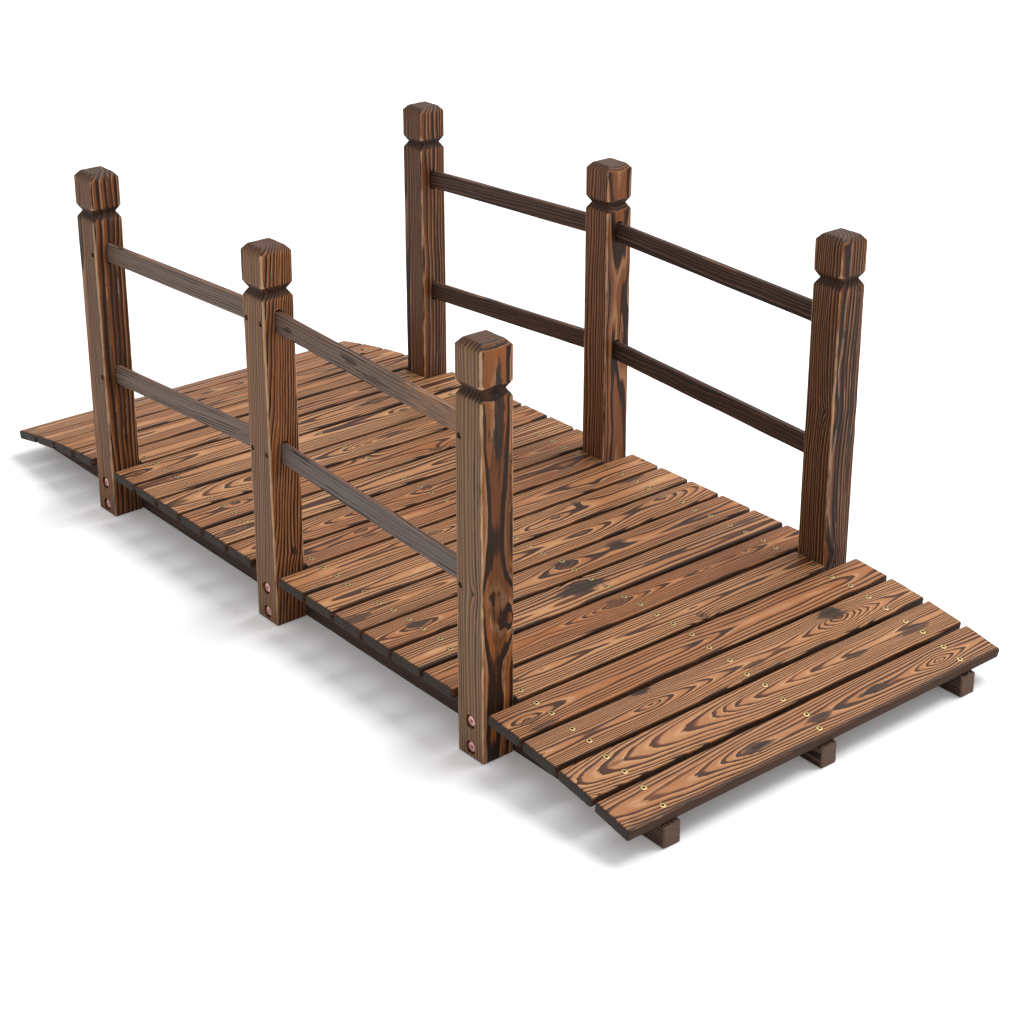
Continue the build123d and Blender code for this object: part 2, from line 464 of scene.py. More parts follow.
# %% Wood materials
BRUSHING_DEPTH = 0.0006
RAIL_BRUSHING_DEPTH = 0.0005
# In each wood the pale arris colour paints both wear and painted highlights
DECK_WOOD = wood_material(
    "deck_wood", BRUSHING_DEPTH, light_wood="B2845B", deep_wood="894D24", brown="65391E", late_wood="412515",
    char="2B2320", side="3A2416", end="2A2928", rubbed="CDA37A", grey="8C7460")
POST_WOOD = wood_material(
    "post_wood", BRUSHING_DEPTH, light_wood="9A5C2F", deep_wood="60361C", brown="472713", late_wood="2C1A10",
    char="221D1D", side="2C1B14", end="362820", rubbed="C8A27E", grey="7F684F")
RAIL_COLOURS = dict(light_wood="644534", deep_wood="3A2620", brown="46332A", late_wood="3A2A23",
                    char="1B191B", side="2A1E1A", end="2A2220", rubbed="9A7050")
# The two rail woods differ only in the grey of their painted sheen
RAIL_WOOD = wood_material("rail_wood", RAIL_BRUSHING_DEPTH, grey="7A6A60", **RAIL_COLOURS)
COOL_SHEEN_RAIL_WOOD = wood_material("weathered_rail_wood", RAIL_BRUSHING_DEPTH, grey="6E6764", **RAIL_COLOURS)
STRINGER_WOOD = wood_material(
    "stringer_wood", RAIL_BRUSHING_DEPTH, light_wood="5E4436", deep_wood="3A2A24", brown="30231E",
    late_wood="1F1817", char="1A1819", side="2E211C", end="5A4436", rubbed="8A6248", grey="5C504A")
print("materials", [made.name for made in bpy.data.materials])


# %% [markdown]
# ## Boards as fine grids
# A box with six corners can't carry relief, and a bevel modifier would leave its faces whole. A grid drawn over
# the faces of the box, and pulled in round the edges, gives even cells and eased arrises in one step. It is made
# in the board's own directions: along its fibres, across its width, and through its thickness.

# %% A rounded box covered with a grid
EDGE_STEPS = 2


def grid_lines(size, rounding, cell, extra=()):
    """Places of the grid lines along one direction: close together round each edge, even cells between."""
    flat = size / 2 - rounding
    corner = [flat + rounding * math.tan(math.pi / 4 * k / EDGE_STEPS) for k in range(1, EDGE_STEPS + 1)]
    even = np.linspace(-flat, flat, max(2, round(2 * flat / cell) + 1))
    if len(extra):
        even = even[np.abs(even[:, None] - np.array(extra)[None]).min(1) > cell / 3]
    return np.sort(np.concatenate([-np.array(corner), even, corner, np.array(extra, float)]))


def rounded_grid(size, rounding, cells, extra=()):
    """Points and four-sided faces of a box of that size, centred on 0, with its edges rounded."""
    lines = [grid_lines(size[axis], rounding, cells[axis], () if axis else extra) for axis in range(3)]
    counts = [len(line) for line in lines]
    index = np.stack(np.meshgrid(*[np.arange(n) for n in counts], indexing="ij"), -1)
    outside = ((index == 0) | (index == np.array(counts) - 1)).any(-1)
    number = np.full(counts, -1)
    number[outside] = np.arange(outside.sum())
    places = np.stack([lines[axis][index[..., axis]] for axis in range(3)], -1)[outside]
    faces = []
    for axis in range(3):
        for end in (0, -1):
            sheet = np.take(number, end, axis)
            corners = [sheet[:-1, :-1], sheet[1:, :-1], sheet[1:, 1:], sheet[:-1, 1:]]
            if (end == -1) == (axis == 1):
                corners.reverse()
            faces.append(np.stack(corners, -1).reshape(-1, 4))
    inner = np.array(size) / 2 - rounding
    core = np.clip(places, -inner, inner)
    out = places - core
    length = np.linalg.norm(out, axis=1, keepdims=True)
    return core + out / np.maximum(length, 1e-9) * np.minimum(length, rounding), np.concatenate(faces)


print("points of a small board", len(rounded_grid((0.06, 0.06, 0.02), 0.003, (0.01, 0.01, 0.01))[0]))

# %% Meshes from points, and points from meshes
def mesh_piece(name, places, faces, material):
    """A smooth-shaded object from points and faces."""
    mesh = bpy.data.meshes.new(name)
    mesh.from_pydata(np.asarray(places).tolist(), [], [list(map(int, face)) for face in faces])
    mesh.materials.append(material)
    mesh.shade_smooth()
    mesh.update()
    piece = bpy.data.objects.new(name, mesh)
    bpy.context.scene.collection.objects.link(piece)
    return piece


def numbers_of(elements, name):
    """A vector property of every vertex, as rows."""
    values = np.empty(len(elements) * 3, np.float32)
    elements.foreach_get(name, values)
    return values.reshape(-1, 3).astype(float)


def points_of(mesh):
    """Places of a mesh's points, as rows."""
    return numbers_of(mesh.vertices, "co")


print("corners of the CAD model's first slat", len(points_of(nodes["deck_slat_01"].data)))


# %% [markdown]
# ## Holes
# Countersinks, rail pockets and bolt seats are real holes, because only a real hole has a real shadow inside.
# A boolean cuts them after the grid is made. Its cutter is a swept outline, so a round hole, a slot and a cross
# recess all come from one function.

# %% Outlines and the solids over them
CUTTER_OUT = 0.002


def swept(outline, levels):
    """Closed solid over an outline of points, with its height and scale at each level."""
    outline = np.asarray(outline, float)
    count = len(outline)
    places = [np.column_stack([outline * scale, np.full(count, height)]) for height, scale in levels]
    faces = [list(range(count))[::-1]]
    for level in range(len(levels) - 1):
        for k in range(count):
            first, second = level * count + k, level * count + (k + 1) % count
            faces.append([first, second, second + count, first + count])
    faces.append([(len(levels) - 1) * count + k for k in range(count)])
    return np.concatenate(places), faces


def straight_hole(outline, depth):
    """Cutter for a hole of one width, standing a little out of the wood."""
    return swept(outline, [(-depth, 1), (CUTTER_OUT, 1)])


def ring_outline(radius, sides):
    """Regular outline with that many sides."""
    turns = np.arange(sides) * 2 * math.pi / sides
    return np.column_stack([np.cos(turns), np.sin(turns)]) * radius


def slot_outline(width, height, sides=10):
    """Upright slot with round ends."""
    radius = width / 2
    turns = np.linspace(0, math.pi, sides)
    cap = np.column_stack([np.cos(turns), np.sin(turns)]) * radius + [0, height / 2 - radius]
    return np.concatenate([cap, -cap])


def cross_outline(reach, width):
    """Outline of a cross recess, anticlockwise."""
    arm = [(reach, -width), (reach, width), (width, width)]
    return np.concatenate([np.array(arm) @ [[c, s], [-s, c]] for c, s in ((1, 0), (0, 1), (-1, 0), (0, -1))])


print("corners of a cross", len(cross_outline(0.002, 0.0005)), "and of a slot", len(slot_outline(0.02, 0.03)))

# %% Joining, aiming and cutting
SHARP_ABOVE = math.radians(48)


def join_parts(parts_list):
    """Several points-and-faces pairs as one."""
    places, faces, start = [], [], 0
    for part_places, part_faces in parts_list:
        places.append(part_places)
        faces += [[int(v) + start for v in face] for face in part_faces]
        start += len(part_places)
    return np.concatenate(places), faces


def aimed(part, at, outward, upright=(0, 0, 1)):
    """Points and faces turned so that their own Z looks outward, and moved to a place."""
    z = np.array(outward, float) / np.linalg.norm(outward)
    side = np.cross(upright, z)
    x = side / np.linalg.norm(side) if np.linalg.norm(side) > 1e-6 else np.array([1.0, 0, 0])
    turn = np.stack([x, np.cross(z, x), z])
    return part[0] @ turn + np.array(at), part[1]


def bore(piece, cutters):
    """Cuts holes into a piece and keeps its long curves smooth."""
    tool = mesh_piece("tool", *join_parts(cutters), piece.data.materials[0])
    cut = piece.modifiers.new("bore", "BOOLEAN")
    cut.operation, cut.object, cut.solver = "DIFFERENCE", tool, "MANIFOLD"
    evaluated = piece.evaluated_get(bpy.context.evaluated_depsgraph_get())
    mesh = bpy.data.meshes.new_from_object(evaluated)
    piece.modifiers.clear()
    old = piece.data
    piece.data = mesh
    bpy.data.meshes.remove(old)
    tool_mesh = tool.data
    bpy.data.objects.remove(tool)
    bpy.data.meshes.remove(tool_mesh)
    mesh.shade_smooth()
    mesh.set_sharp_from_angle(angle=SHARP_ABOVE)


print("edges stay sharp above", round(math.degrees(SHARP_ABOVE)), "degrees")


# %% [markdown]
# ## Where each board lay in its log
# Every board gets its own pith line: how far below the face it ran, how much it leaned and how wide the rings
# were. A pith that leans towards the face gives long arches. The boards in front follow the photograph in their
# knots and arches; the rest come from one seeded generator, so every run saws the same boards.

# %% Covers by distance
def store(mesh, name, values):
    """Writes one value, or one vector, for each point."""
    values = np.asarray(values, np.float32)
    kind, key = ("FLOAT_VECTOR", "vector") if values.ndim == 2 else ("FLOAT", "value")
    mesh.attributes.new(name, kind, "POINT").data.foreach_set(key, values.ravel())


def smooth(value, low, high):
    """Smooth rise from 0 to 1 as a value goes from low to high."""
    t = np.clip((value - low) / (high - low), 0, 1)
    return t * t * (3 - 2 * t)


def near_limit(value, limit, band):
    """Rise from 0 to 1 over a band short of a limit, given as two distances from it."""
    return smooth(value, limit - band[0], limit - band[1])


def close_to(distance, reach):
    """1 on a line, fading over the reach to both sides of it."""
    return np.exp(-(distance / reach) ** 2)


print("cover at one reach from a line", round(close_to(1.0, 1.0), 3))

# %% Attributes that describe the wood
LOG_GAP = 7.0
NOWHERE = (60.0, 60.0, 0.0)


def spot_places(local, spot):
    """Each point's place round a knot or blot, counted in its radii along and across, with its strength."""
    along, across, half_length, half_width, strength, *through = spot
    axis = 2 if through else 1
    return np.column_stack([
        (local[:, 0] - along * MM) / (half_length * MM), (local[:, axis] - across * MM) / (half_width * MM),
        np.full(len(local), strength)])


def describe_wood(piece, local, turn, number, *, pith, squeeze=1.0, knots=(), blots=(), **values):
    """Stores the wood's attributes; local holds each point in the board's own directions, in metres.

    The pith is given as its depth below the middle, its place aside, and its lean, bow and skew along the board.
    A squeeze above 1 crowds the rings at the board's long edges, as in a log of flattened section.
    Knots and blots are given in millimetres: along, across, half length, half width, strength.
    """
    below, aside, lean, bow, skew = pith
    mesh = piece.data
    along = local[:, 0]
    out = np.stack([(local[:, 1] - aside - skew * along) * squeeze,
                    local[:, 2] + below - lean * along - bow * along ** 2], -1)
    store(mesh, "log", np.column_stack([along + LOG_GAP * (number + 1), out]))
    normals = numbers_of(mesh.vertices, "normal") @ turn.T
    facing = (normals[:, 1:] * out).sum(1) / np.maximum(np.linalg.norm(out, axis=1), 1e-6)
    values["steep"] = np.sqrt(np.clip(1 - facing ** 2, 0, 1))
    for names, spots, unit in ((KNOTS, knots, MM), (BLOTS, blots, 1.0)):
        for k, name in enumerate(names):
            spot = spot_places(local, spots[k]) if k < len(spots) else np.tile(NOWHERE, (len(local), 1))
            spot[:, 2] *= unit
            store(mesh, name, spot)
    for name, usual in WOOD_VALUES.items():
        store(mesh, name, np.broadcast_to(values.get(name, usual), len(local)))


print("attributes of a board", len(WOOD_PLACES) + len(WOOD_VALUES))


# %% [markdown]
# ## Relief of the brushing
# The brush digs out the soft wood and leaves the late wood standing. Broad late wood is raised in the mesh
# itself, by geometry nodes that ask the same ring recipe as the colour. The finest lines are closer than the
# grid, so a blur takes them out there and the bump carries them.

# %% Relief by geometry nodes
BRUSHED_DEPTH = 0.0004
BLUR_STEPS = 2
BLURRED_LINES_BACK = 1.6


def named(tree, name, kind="FLOAT"):
    """A stored attribute, read by geometry nodes."""
    node = tree.nodes.new("GeometryNodeInputNamedAttribute")
    node.data_type = kind
    node.inputs["Name"].default_value = name
    return node.outputs["Attribute"]


def make_brushed_relief():
    """Modifier that sinks the soft wood between the rings where the board is brushed."""
    tree = bpy.data.node_groups.new("brushed_relief", "GeometryNodeTree")
    add_sockets(tree, "INPUT", [("Board", "NodeSocketGeometry")])
    add_sockets(tree, "OUTPUT", [("Board", "NodeSocketGeometry")])
    board = tree.nodes.new("NodeGroupInput").outputs["Board"]
    knots = [named(tree, name, "FLOAT_VECTOR") for name in KNOTS]
    log = named(tree, "log", "FLOAT_VECTOR")
    rings, _ = growth_rings(tree, log, knots, named(tree, "ring_width"), named(tree, "steep"))
    blur = tree.nodes.new("GeometryNodeBlurAttribute")
    plug(tree, rings, blur.inputs[0])
    plug(tree, BLUR_STEPS, blur.inputs["Iterations"])
    soft = maths(tree, "SUBTRACT", 1.0, times(tree, blur.outputs[0], BLURRED_LINES_BACK), clamp=True)
    away = tree.nodes.new("ShaderNodeVectorMath")
    away.operation = "SCALE"
    plug(tree, tree.nodes.new("GeometryNodeInputNormal").outputs[0], away.inputs[0])
    plug(tree, times(tree, times(tree, soft, named(tree, "brushed")), -BRUSHED_DEPTH), away.inputs["Scale"])
    move = tree.nodes.new("GeometryNodeSetPosition")
    plug_by_name(tree, move.inputs, {"Geometry": board, "Offset": away.outputs[0]})
    plug(tree, move.outputs[0], tree.nodes.new("NodeGroupOutput").inputs["Board"])
    return tree


BRUSHED_RELIEF = make_brushed_relief()
print("modifier", BRUSHED_RELIEF.name, "with", len(BRUSHED_RELIEF.nodes), "nodes")

# %% Handing a piece to the frame
def finish_piece(piece, *replaced, slot, relief=True):
    """Hands a finished piece to the frame."""
    if relief:
        piece.modifiers.new("brushing", "NODES").node_group = BRUSHED_RELIEF
    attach(piece, "root")
    if replaced:
        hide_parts(*replaced)
    return piece


print("nodes to replace", len(nodes))


# %% [markdown]
# ## The deck slats
# A slat's top is brushed, and its sides and ends are not. The frame gives each slat's place and tilt: the tilt
# is read from the largest face that looks up, and the size is measured square to it.

# %% Where the slats lay in their logs
# For each slat from the front: depth and place of the pith, its lean (mm in a metre) and its bow (mm at a metre
# from the middle), ring width, tone, scorch, then knots and blots as along, across towards the rear, half
# length, half width and strength
SLAT_WOOD = {
    "deck_slat_23": dict(pith=(15, 1, 34, -25), ring=4.3, tone=0.58, scorch=0.4, front=1.2,
                         knots=[(-98, 0, 44, 10, 10), (240, -3, 44, 15, 22), (122, 1, 30, 7, 5)],
                         blots=[(-98, 0, 30, 8, 0.9), (14, -1, 26, 7, 0.95), (120, 1, 32, 7, 0.95)]),
    "deck_slat_22": dict(pith=(19, 2, 66, -80), ring=3.2, squeeze=1.3, tone=0.44, scorch=0.1,
                         blots=[(152, -3, 27, 5, 0.85), (264, -5, 33, 7, 0.85), (-270, 3, 22, 3, 0.6)]),
    "deck_slat_21": dict(pith=(17, -5, -34, 35), ring=3.3, squeeze=1.2, tone=0.48, scorch=0.2,
                         knots=[(-152, -1, 40, 11, 12), (196, 3, 50, 20, 28), (-144, 29, 16, 10, 9)],
                         blots=[(-144, 29, 20, 12, 1), (194, 14, 24, 15, 0.95), (20, -11, 28, 5, 0.85)]),
    "deck_slat_20": dict(pith=(20, -1, -16, 0), ring=4.8, tone=0.74, scorch=0.0,
                         knots=[(-302, -6, 36, 12, 17), (-74, 0, 84, 7, 6), (230, -6, 50, 6, 3)],
                         blots=[(-6, 0, 28, 2.6, 0.85), (-300, -9, 16, 6, 0.5), (-290, -26, 24, 5, 0.8)]),
    "deck_slat_19": dict(pith=(17, 2, 6, 0), ring=4.4, tone=0.42, scorch=0.15,
                         knots=[(50, 0, 60, 9, 9), (44, -24, 14, 8, 9), (-215, 4, 50, 9, 7)],
                         blots=[(162, 1, 26, 3.5, 0.8), (-72, 4, 18, 3, 0.8), (46, -20, 9, 7, 0.7)]),
    "deck_slat_18": dict(pith=(21, 3, 8, 20), ring=3.7, tone=0.84, scorch=0.0,
                         knots=[(-24, 7, 46, 16, 22), (142, 3, 46, 8, 6), (225, 8, 26, 7, 6)],
                         blots=[(-20, 8, 26, 10, 0.7), (112, 5, 18, 3, 0.75)]),
    "deck_slat_17": dict(pith=(9, -11, -12, 20), ring=6.0, tone=0.44, scorch=0.3,
                         knots=[(-288, -3, 40, 8, 7), (-26, 30, 46, 16, 16)],
                         blots=[(-28, 5, 47, 18, 1), (128, -1, 52, 4, 0.9), (296, 8, 36, 6, 0.8)]),
    "deck_slat_16": dict(pith=(16, -5, 22, 25), ring=4.6, tone=0.66, scorch=0.35,
                         knots=[(0, 7, 32, 14, 22), (-264, -2, 30, 12, 18), (98, 10, 28, 8, 8)],
                         blots=[(1, 6, 22, 11, 0.95), (-264, -1, 24, 9, 0.95), (99, 10, 22, 7, 0.85)]),
    "deck_slat_15": dict(pith=(14, 2, -62, 0), ring=4.8, tone=0.58, scorch=0.35,
                         knots=[(84, 0, 30, 9, 10), (256, 14, 60, 18, 17)],
                         blots=[(84, -1, 20, 4.5, 0.85), (-320, -2, 24, 10, 0.85), (196, 4, 26, 4, 0.8)]),
    "deck_slat_14": dict(pith=(20, -6, 15, 0), ring=5.0, tone=0.40, scorch=0.15,
                         knots=[(41, -9, 20, 8, 9), (88, -3, 26, 10, 12), (144, 13, 30, 10, 13)],
                         blots=[(90, -3, 14, 5, 0.7), (143, 14, 11, 5, 0.7), (268, 25, 28, 5, 0.85)]),
    "deck_slat_13": dict(pith=(23, 4, 11, 0), ring=4.6, tone=0.56, scorch=0.1,
                         knots=[(-82, 4, 26, 11, 12), (215, -18, 34, 9, 8)], blots=[(-84, 4, 13, 5, 0.75)]),
    "deck_slat_12": dict(pith=(17, 6, -18, 0), ring=5.0, tone=0.74, scorch=0.15,
                         knots=[(-158, 12, 26, 10, 12), (-238, -3, 34, 8, 7), (220, -12, 34, 9, 9)],
                         blots=[(-158, 12, 13, 6, 0.7), (-155, -8, 17, 4, 0.75)]),
    "deck_slat_11": dict(pith=(14, -2, 44, 0), ring=4.8, tone=0.66, scorch=0.35,
                         knots=[(3, 0, 30, 10, 12), (-120, 2, 40, 10, 7)], blots=[(10, 4, 20, 4.5, 0.8)]),
    "deck_slat_10": dict(pith=(11, -2, 30, 0), ring=5.8, tone=0.30, scorch=0.15,
                         knots=[(-308, -2, 34, 10, 12)], blots=[(-300, -2, 32, 9, 0.8)]),
    "deck_slat_09": dict(pith=(25, 0, -12, 0), ring=4.8, tone=0.66, scorch=0.15,
                         knots=[(-248, 12, 20, 9, 11), (-4, 26, 22, 9, 12), (107, -20, 22, 9, 11)],
                         blots=[(-248, 12, 11, 5, 0.7), (-4, 27, 20, 5, 0.9), (108, -22, 15, 6, 0.7)]),
    "deck_slat_08": dict(pith=(12, 0, 80, 0), ring=5.2, tone=0.38, scorch=0.35,
                         knots=[(34, 0, 36, 12, 14)], blots=[(88, 5, 34, 6, 0.85), (-315, 0, 18, 6, 0.8)]),
    "deck_slat_07": dict(pith=(16, 14, 18, 0), ring=5.4, tone=0.40, scorch=0.2,
                         knots=[(162, 8, 26, 10, 12)], blots=[(162, 8, 12, 5, 0.7)]),
    "deck_slat_06": dict(pith=(23, 2, -12, 0), ring=5.4, tone=0.42, scorch=0.25,
                         knots=[(-310, 0, 32, 12, 12), (160, 4, 40, 12, 9)],
                         blots=[(-314, 2, 21, 11, 0.75), (150, 3, 44, 11, 0.8)]),
}
SLAT_SQUEEZE = 1.15
print("slats in the table", len(SLAT_WOOD))

# %% Measuring a board, and wood for the other slats
KNOT_CHANCE = 0.75


def nodes_named(start):
    """The frame's nodes whose names start so, in order."""
    return sorted(name for name in nodes if name.startswith(start))


def own_frame(node, axes):
    """Middle, size and rotation of a board, measured along its own three directions."""
    turn = np.array(axes, float)
    turned = points_of(nodes[node].data) @ turn.T
    low, high = turned.min(0), turned.max(0)
    return turn.T @ ((low + high) / 2), high - low, turn


def top_normal(node):
    """Direction of the largest face that looks up."""
    flat = max((p for p in nodes[node].data.polygons if p.normal.z > 0.7), key=lambda p: p.area)
    return np.array(flat.normal)


def random_slat_wood(rng):
    """Wood for a slat that the table leaves out, in the table's own units."""
    wood = dict(pith=(rng.uniform(11, 26), rng.uniform(-8, 8), rng.uniform(-50, 50), rng.uniform(-30, 30)),
                ring=rng.uniform(4.4, 6.0), tone=rng.uniform(0.4, 0.75), scorch=rng.uniform(0.0, 0.4))
    if rng.random() < KNOT_CHANCE:
        at = (rng.uniform(-280, 280), rng.uniform(-18, 18))
        wood["knots"] = [(*at, 30, 11, rng.uniform(7, 14))]
        wood["blots"] = [(*at, 11, 5, 0.85)]
    return wood


print("slats left to chance", len(nodes_named("deck_slat")) - len(SLAT_WOOD))

# %% Screws sit in pairs over each stringer
SCREW_APART = 0.031
SCREW_STRAY = 0.0016
COUNTERSINK = 0.0047
COUNTERSINK_LEVELS = [(-0.0034, 0.0014), (-0.0004, COUNTERSINK), (0.001, COUNTERSINK)]
stringer_rows = [(lo[1] + hi[1]) / 2 for lo, hi in (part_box(f"stringer_{s}") for s in ("left", "middle", "right"))]


def screw_places(rng):
    """Places of a slat's six screws in its own directions, along and across."""
    return [(row + rng.normal(0, SCREW_STRAY), side * SCREW_APART / 2 + rng.normal(0, SCREW_STRAY))
            for row in stringer_rows for side in (-1, 1)]


print("rows of screws at", [round(float(row), 3) for row in stringer_rows])

# %% How a slat wears
# A band is two distances from an edge, where a cover begins and where it is full
BRUSHED_TOP = (0.0026, 0.0010)
SLAT_END = (0.0028, 0.0008)
EDGE_SCORCH = 0.7
EDGE_SCORCH_REACH = 0.006
FRONT_SCORCH_REACH = 0.008
# Pale band on the rounded top arrises: partly wear, partly a painted highlight where light catches them
EDGE_WEAR_AND_HIGHLIGHT = 0.62
EDGE_WEAR_AND_HIGHLIGHT_AT = 0.0016
EDGE_WEAR_AND_HIGHLIGHT_REACH = 0.0012


def slat_looks(wood, local, size):
    """Values of a slat's wood at each point: darker edges, arrises paler from wear and a painted highlight, and
    sawn sides and ends.
    """
    from_side = size[1] / 2 - np.abs(local[:, 1])
    from_end = size[0] / 2 - np.abs(local[:, 0])
    top = near_limit(local[:, 2], size[2] / 2, BRUSHED_TOP)
    front = wood.get("front", 0) * close_to(local[:, 1] + size[1] / 2, FRONT_SCORCH_REACH)
    rubbed = EDGE_WEAR_AND_HIGHLIGHT * close_to(from_side - EDGE_WEAR_AND_HIGHLIGHT_AT, EDGE_WEAR_AND_HIGHLIGHT_REACH)
    return dict(
        ring_width=wood["ring"] * MM, tone=wood["tone"],
        scorch=wood["scorch"] + EDGE_SCORCH * close_to(from_side, EDGE_SCORCH_REACH) + front,
        brushed=top * smooth(from_side, -0.0004, 0.0012) * smooth(from_end, 0.0, 0.003),
        end_grain=near_limit(np.abs(local[:, 0]), size[0] / 2, SLAT_END),
        worn=rubbed * smooth(local[:, 2], 0.0, size[2] / 2))


print("edge scorched over", 1000 * EDGE_SCORCH_REACH, "mm and rubbed over", 1000 * EDGE_WEAR_AND_HIGHLIGHT_REACH, "mm")

# %% Slats
SLAT_CELLS = (0.007, 0.0015, 0.003)
SLAT_ROUNDING = 0.003
SEED = 51


def make_slat(node, number, rng):
    """A slat with its countersinks; returns it with the place and direction of each screw."""
    normal = top_normal(node)
    fibre = np.array([0.0, 1.0, 0.0])
    middle, size, turn = own_frame(node, [fibre, np.cross(normal, fibre), normal])
    places, faces = rounded_grid(size, SLAT_ROUNDING, SLAT_CELLS)
    piece = mesh_piece(node.replace("deck_", ""), places @ turn + middle, faces, DECK_WOOD)
    top = size[2] / 2
    screws = [(middle + np.array([along, across, top]) @ turn, normal) for along, across in screw_places(rng)]
    hole = swept(ring_outline(1.0, 20), COUNTERSINK_LEVELS)
    bore(piece, [aimed(hole, at, normal) for at, _ in screws])
    local = (points_of(piece.data) - middle) @ turn.T
    wood = SLAT_WOOD.get(node) or random_slat_wood(rng)
    describe_wood(
        piece, local, turn, number, pith=[*(value * MM for value in wood["pith"]), rng.uniform(-0.008, 0.008)],
        squeeze=wood.get("squeeze", SLAT_SQUEEZE), knots=wood.get("knots", ()), blots=wood.get("blots", ()),
        **slat_looks(wood, local, size))
    finish_piece(piece, node, slot="deck_wood")
    return piece, screws


rng = np.random.default_rng(SEED)
slat_nodes = nodes_named("deck_slat")
deck_screws = []
for number, node in enumerate(slat_nodes):
    slat, screws = make_slat(node, number, rng)
    deck_screws += screws
print("slats", len(slat_nodes), "points in one", len(slat.data.vertices), "screws", len(deck_screws))


# %% [markdown]
# ## Stringers and rails
# The stringers are boards on edge whose top follows the deck. Their grid is made as a straight board and its
# height is then scaled to the CAD outline at each place along it. The rails are straight bars that slope up to
# the middle posts, so they only need turning.

# %% Stringers
STRINGER_CELLS = (0.008, 0.0026, 0.0028)
STRINGER_ROUNDING = 0.0028
STRINGER_END = (0.003, 0.0008)
STRINGER_TOP = (0.004, 0.0005)
# Paler band along the top edge: a painted highlight
STRINGER_TOP_HIGHLIGHT = 0.6
STRINGER_LOG = 30


def top_line(node):
    """X and height of the upper outline of a stringer, in order along it."""
    corners = points_of(nodes[node].data)
    upper = corners[corners[:, 2] > 0.001]
    xs = np.unique(np.round(upper[:, 0], 5))
    return xs, np.array([upper[np.abs(upper[:, 0] - x) < 2e-5, 2].max() for x in xs])


def make_stringer(node, number, rng):
    """A stringer whose top follows the CAD outline, with a paler band along its top edge painted as a highlight."""
    middle, size, turn = own_frame(node, [(1, 0, 0), (0, 0, 1), (0, -1, 0)])
    local, faces = rounded_grid(size, STRINGER_ROUNDING, STRINGER_CELLS)
    height = np.interp(local[:, 0], *top_line(node))
    local[:, 1] = (local[:, 1] + size[1] / 2) * height / size[1] - size[1] / 2
    piece = mesh_piece(node, local @ turn + middle, faces, STRINGER_WOOD)
    pith = (rng.uniform(0.01, 0.04), rng.uniform(-0.02, 0.02), rng.uniform(-0.02, 0.02), 0.0, 0.0)
    describe_wood(
        piece, local, turn, number, pith=pith, ring_width=rng.uniform(0.0026, 0.004), tone=0.45, scorch=0.3,
        end_grain=near_limit(np.abs(local[:, 0]), size[0] / 2, STRINGER_END),
        worn=STRINGER_TOP_HIGHLIGHT * near_limit(local[:, 1], size[1] / 2, STRINGER_TOP))
    return finish_piece(piece, node, slot="stringer_wood")


stringers = [make_stringer(node, STRINGER_LOG + k, rng) for k, node in enumerate(nodes_named("stringer"))]
print("stringers", len(stringers))

# %% How the rails look, with their painted sheen and highlights
# The near rails differ by their height, the far ones by their bay. One value paints a grey sheen on the near rails'
# outer side, a painted reflection of the white floor, and another paints their upper arrises paler, a painted
# highlight where light from above catches them. Smudges are given as blots: along, across, half length, half width
# and strength
RAIL_LOOKS = {
    ("left", "upper"): dict(tone=0.15, scorch=0.3, bloom=0.60, rubbed=0.75),
    ("left", "lower"): dict(tone=0.30, scorch=0.3, bloom=0.82, rubbed=0.45),
    ("right", "front"): dict(tone=1.05, scorch=0.9, bloom=0.0, rubbed=0.45),
    ("right", "rear"): dict(tone=0.75, scorch=0.6, bloom=0.0, rubbed=0.45),
}
COOL_SHEEN_RAIL = "rail_left_front_lower"
SMUDGED_RAIL = "rail_left_front_upper"
SMUDGES = [(-178, -2, 12, 4, 0.8), (-38, 4, 20, 5, 0.8), (14, -4, 26, 4, 0.6)]
WARM_END_RUBBED = 0.84
WARM_END = (-0.06, 0.12)
RAIL_ARRIS = 0.0028


def rail_looks(node, local, size):
    """Values of a rail's wood at each point, apart from those of its log."""
    _, side, bay, level = node.split("_")
    look = RAIL_LOOKS[side, level if side == "left" else bay]
    arris = (size[1] / 2 - np.abs(local[:, 1])) + (size[2] / 2 - np.abs(local[:, 2]))
    # Painted highlight on the upper arrises only, where light from above catches them
    worn = look["rubbed"] * close_to(arris, RAIL_ARRIS) * (local[:, 1] > 0)
    if node == SMUDGED_RAIL:
        worn = np.maximum(worn, WARM_END_RUBBED * smooth(local[:, 0], *WARM_END))
    return dict(tone=look["tone"], scorch=look["scorch"], worn=worn,
                # Painted sheen: grey on the outer side, standing in for the white floor's reflection
                bloom=look["bloom"] * smooth(local[:, 2], 0.0, size[2] / 2))


print("kinds of rail", len(RAIL_LOOKS))

# %% Rails
RAIL_CELLS = (0.006, 0.0016, 0.002)
RAIL_ROUNDING = 0.0026
RAIL_END_GAP = 0.001
RAIL_END = (0.002, 0.0005)
RAIL_LOG = 40


def ends_of_bar(node):
    """Middle of each end of a sloping bar, the lower end in X first, then its upright height and thickness."""
    corners = points_of(nodes[node].data)
    ends = [corners[np.abs(corners[:, 0] - x) < 1e-4] for x in (corners[:, 0].min(), corners[:, 0].max())]
    middles = [(end.min(0) + end.max(0)) / 2 for end in ends]
    return middles, float(np.ptp(ends[0][:, 2])), float(np.ptp(corners[:, 1]))


